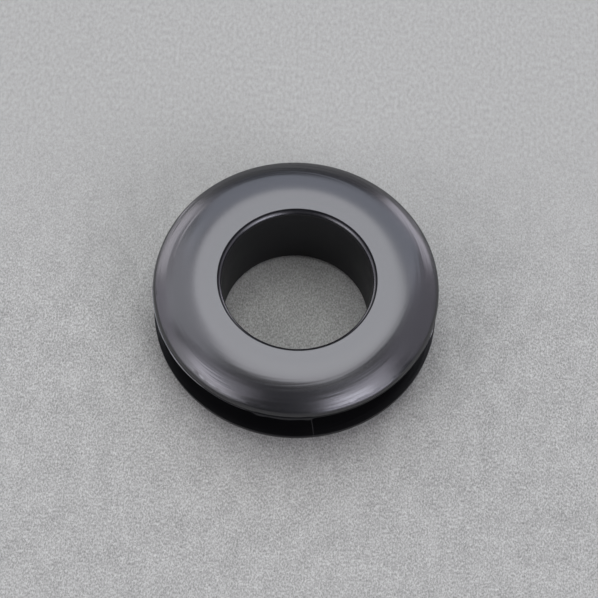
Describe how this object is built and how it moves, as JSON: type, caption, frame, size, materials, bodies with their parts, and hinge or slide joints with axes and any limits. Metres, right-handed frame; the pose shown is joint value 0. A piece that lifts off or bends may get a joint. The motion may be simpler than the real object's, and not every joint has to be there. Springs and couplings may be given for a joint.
{
  "type": "rubber grommet",
  "caption": "Round one-piece rubber grommet: domed flanges above and below, a groove between them that grips a panel, and a straight bore with rounded mouths for a cable.",
  "frame": {"origin": "centre of the lower flange's flat face, on the bore's axis", "axes": "+Z along the bore, up from the surface that the grommet lies on; the ring is the same all round, so X and Y are free"},
  "size_m": [0.025, 0.025, 0.0083],
  "materials": {
    "rubber": "smooth moulded black rubber with a soft sheen"
  },
  "bodies": {
    "root": {"grommet": "rubber"}
  },
  "joints": []
}
